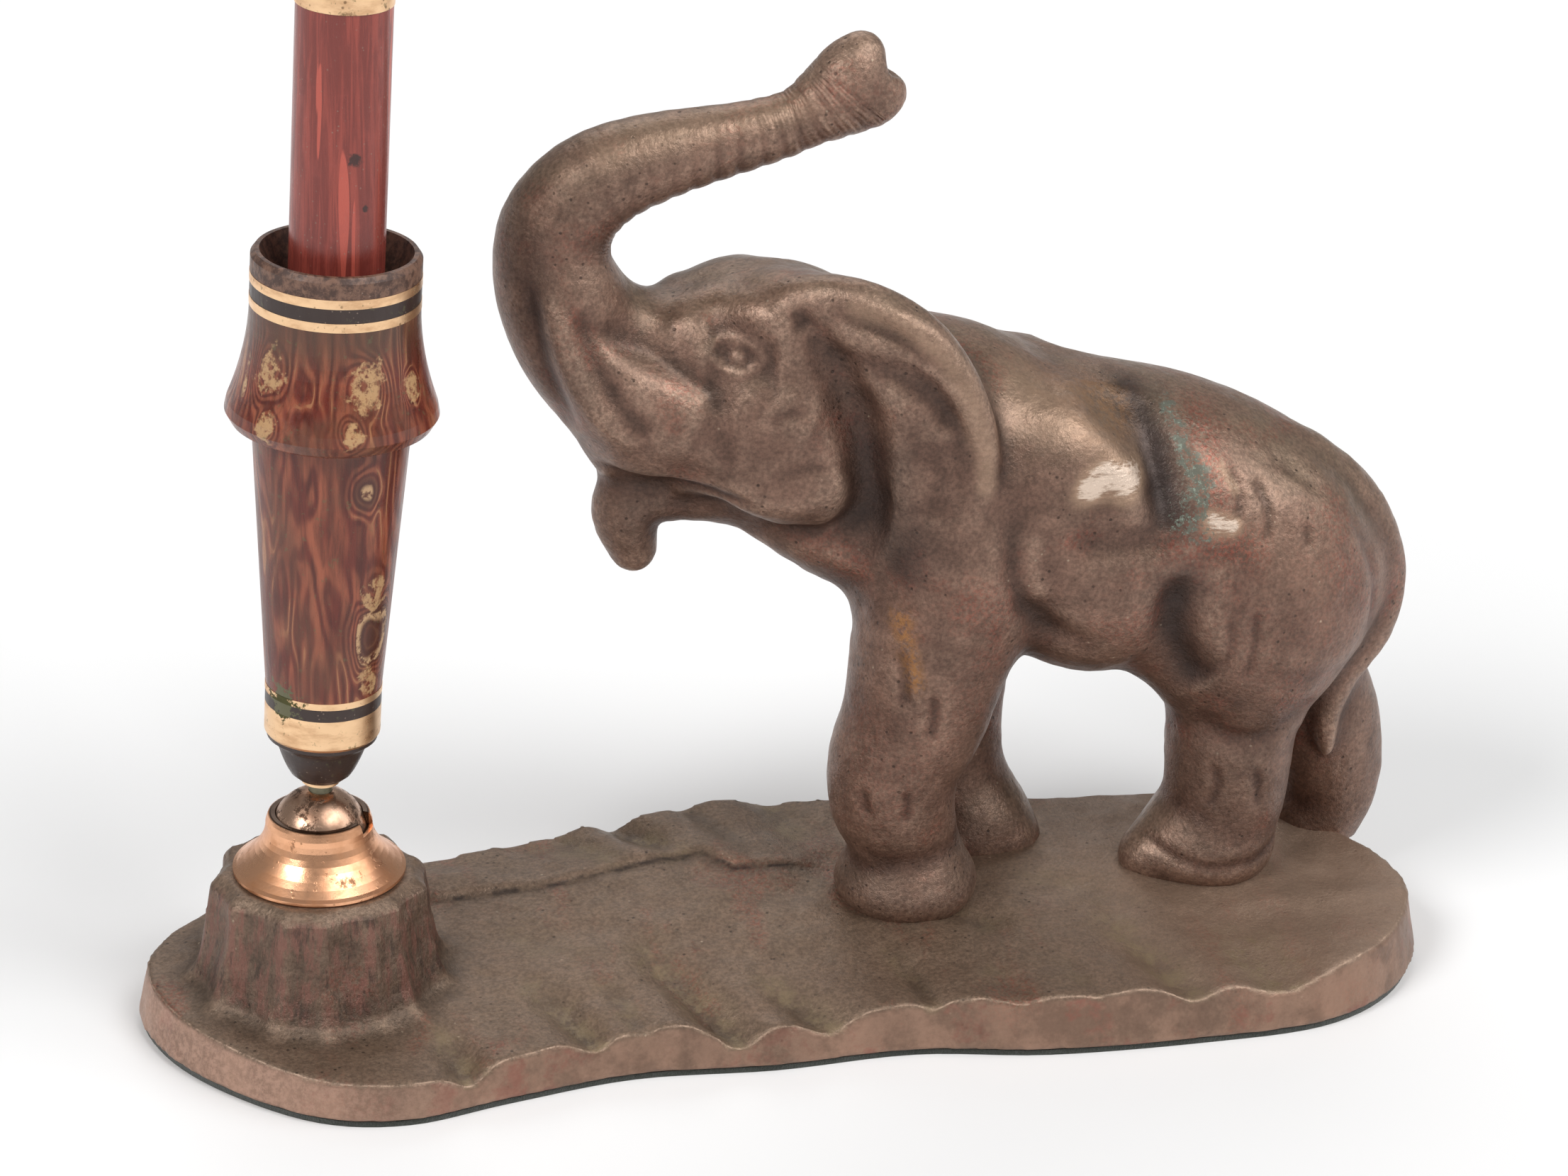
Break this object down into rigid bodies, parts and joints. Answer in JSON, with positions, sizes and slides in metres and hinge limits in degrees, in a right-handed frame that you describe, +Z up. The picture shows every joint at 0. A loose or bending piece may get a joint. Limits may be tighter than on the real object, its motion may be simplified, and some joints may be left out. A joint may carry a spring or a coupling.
{
  "type": "desk pen stand",
  "caption": "Cast elephant on a ground plate beside a tree stump that carries a ball-swivel socket holding a lever-filling desk pen.",
  "frame": {"origin": "middle of the object's box on the felt's underside", "axes": "+Z up; +X from the pen holder towards the elephant's tail; +Y towards the rear edge of the base"},
  "size_m": [0.1799, 0.064, 0.2394],
  "materials": {
    "ground_patina": "sand-cast, brown bronze patina, matt",
    "cast_patina": "sand-cast, brown bronze patina with rubbed highlights",
    "felt": "dark green felt",
    "steel": "plain zinc-dulled steel",
    "copper_plate": "worn copper-coloured plate, satin",
    "dull_brass": "dull turned brass",
    "verdigris_steel": "steel with green deposit",
    "gold_fill": "gold-filled band, lightly worn",
    "black_rubber": "aged black hard rubber, satin",
    "mottled_rubber": "mottled brown and tan hard rubber, satin",
    "dark_liner": "dark moulded sleeve",
    "red_rubber": "wood-grain red hard rubber, polished",
    "sac_rubber": "latex sac"
  },
  "bodies": {
    "stand": {"base_casting": "ground_patina", "felt_pad": "felt", "elephant": "cast_patina", "elephant_screws": "steel", "swivel_cup": "copper_plate", "cup_plug": "dull_brass", "mount_screw": "steel", "mount_washer": "steel", "seat_spring": "steel"},
    "seat": {"ball_seat": "dull_brass"},
    "ball": {"swivel_ball": "copper_plate"},
    "holder": {"neck_stud": "verdigris_steel", "tip_washer": "gold_fill", "neck_nut": "steel", "socket_tip": "black_rubber", "lower_band": "gold_fill", "lower_spacer": "black_rubber", "lower_ring": "gold_fill", "socket_taper": "mottled_rubber", "socket_collar": "mottled_rubber", "collar_ring": "gold_fill", "collar_spacer": "black_rubber", "rim_ring": "gold_fill", "mouth_rim": "black_rubber", "socket_liner": "dark_liner"},
    "pen": {"pen_barrel": "red_rubber", "barrel_band": "gold_fill", "band_plug": "black_rubber", "pen_tail": "red_rubber", "tail_cap": "black_rubber", "pen_section": "black_rubber", "pen_feed": "black_rubber", "pen_nib": "gold_fill", "ink_sac": "sac_rubber", "lever_pin": "steel"},
    "lever": {"fill_lever": "gold_fill"},
    "bar": {"pressure_bar": "steel"}
  },
  "joints": [
    {"name": "swivel_turn", "type": "hinge", "parent": "stand", "child": "seat", "pos_m": [-0.065, -0.002, 0.0286], "axis": [0, 0, 1], "range_deg": [-80, 80]},
    {"name": "swivel_tilt", "type": "hinge", "parent": "seat", "child": "ball", "pos_m": [-0.065, -0.002, 0.0286], "axis": [0, -1, 0], "range_deg": [-1.5, 40]},
    {"name": "holder_spin", "type": "hinge", "parent": "ball", "child": "holder", "pos_m": [-0.065, -0.002, 0.0286], "axis": [0.0349, 0, 0.9994], "continuous": true},
    {"name": "pen_slide", "type": "slide", "parent": "holder", "child": "pen", "axis": [0.0349, 0, 0.9994], "range_m": [0, 0.062]},
    {"name": "lever_swing", "type": "hinge", "parent": "pen", "child": "lever", "pos_m": [-0.06158, 0.00315, 0.12654], "axis": [0.9994, 0, -0.0349], "range_deg": [0, 70]},
    {"name": "bar_press", "type": "slide", "parent": "pen", "child": "bar", "axis": [0, -1, 0], "range_m": [0, 0.00179], "deforming": ["ink_sac"]}
  ],
  "couplings": [
    {"joint": "lever_swing", "follows": "bar_press", "rad_per_m": 680}
  ]
}
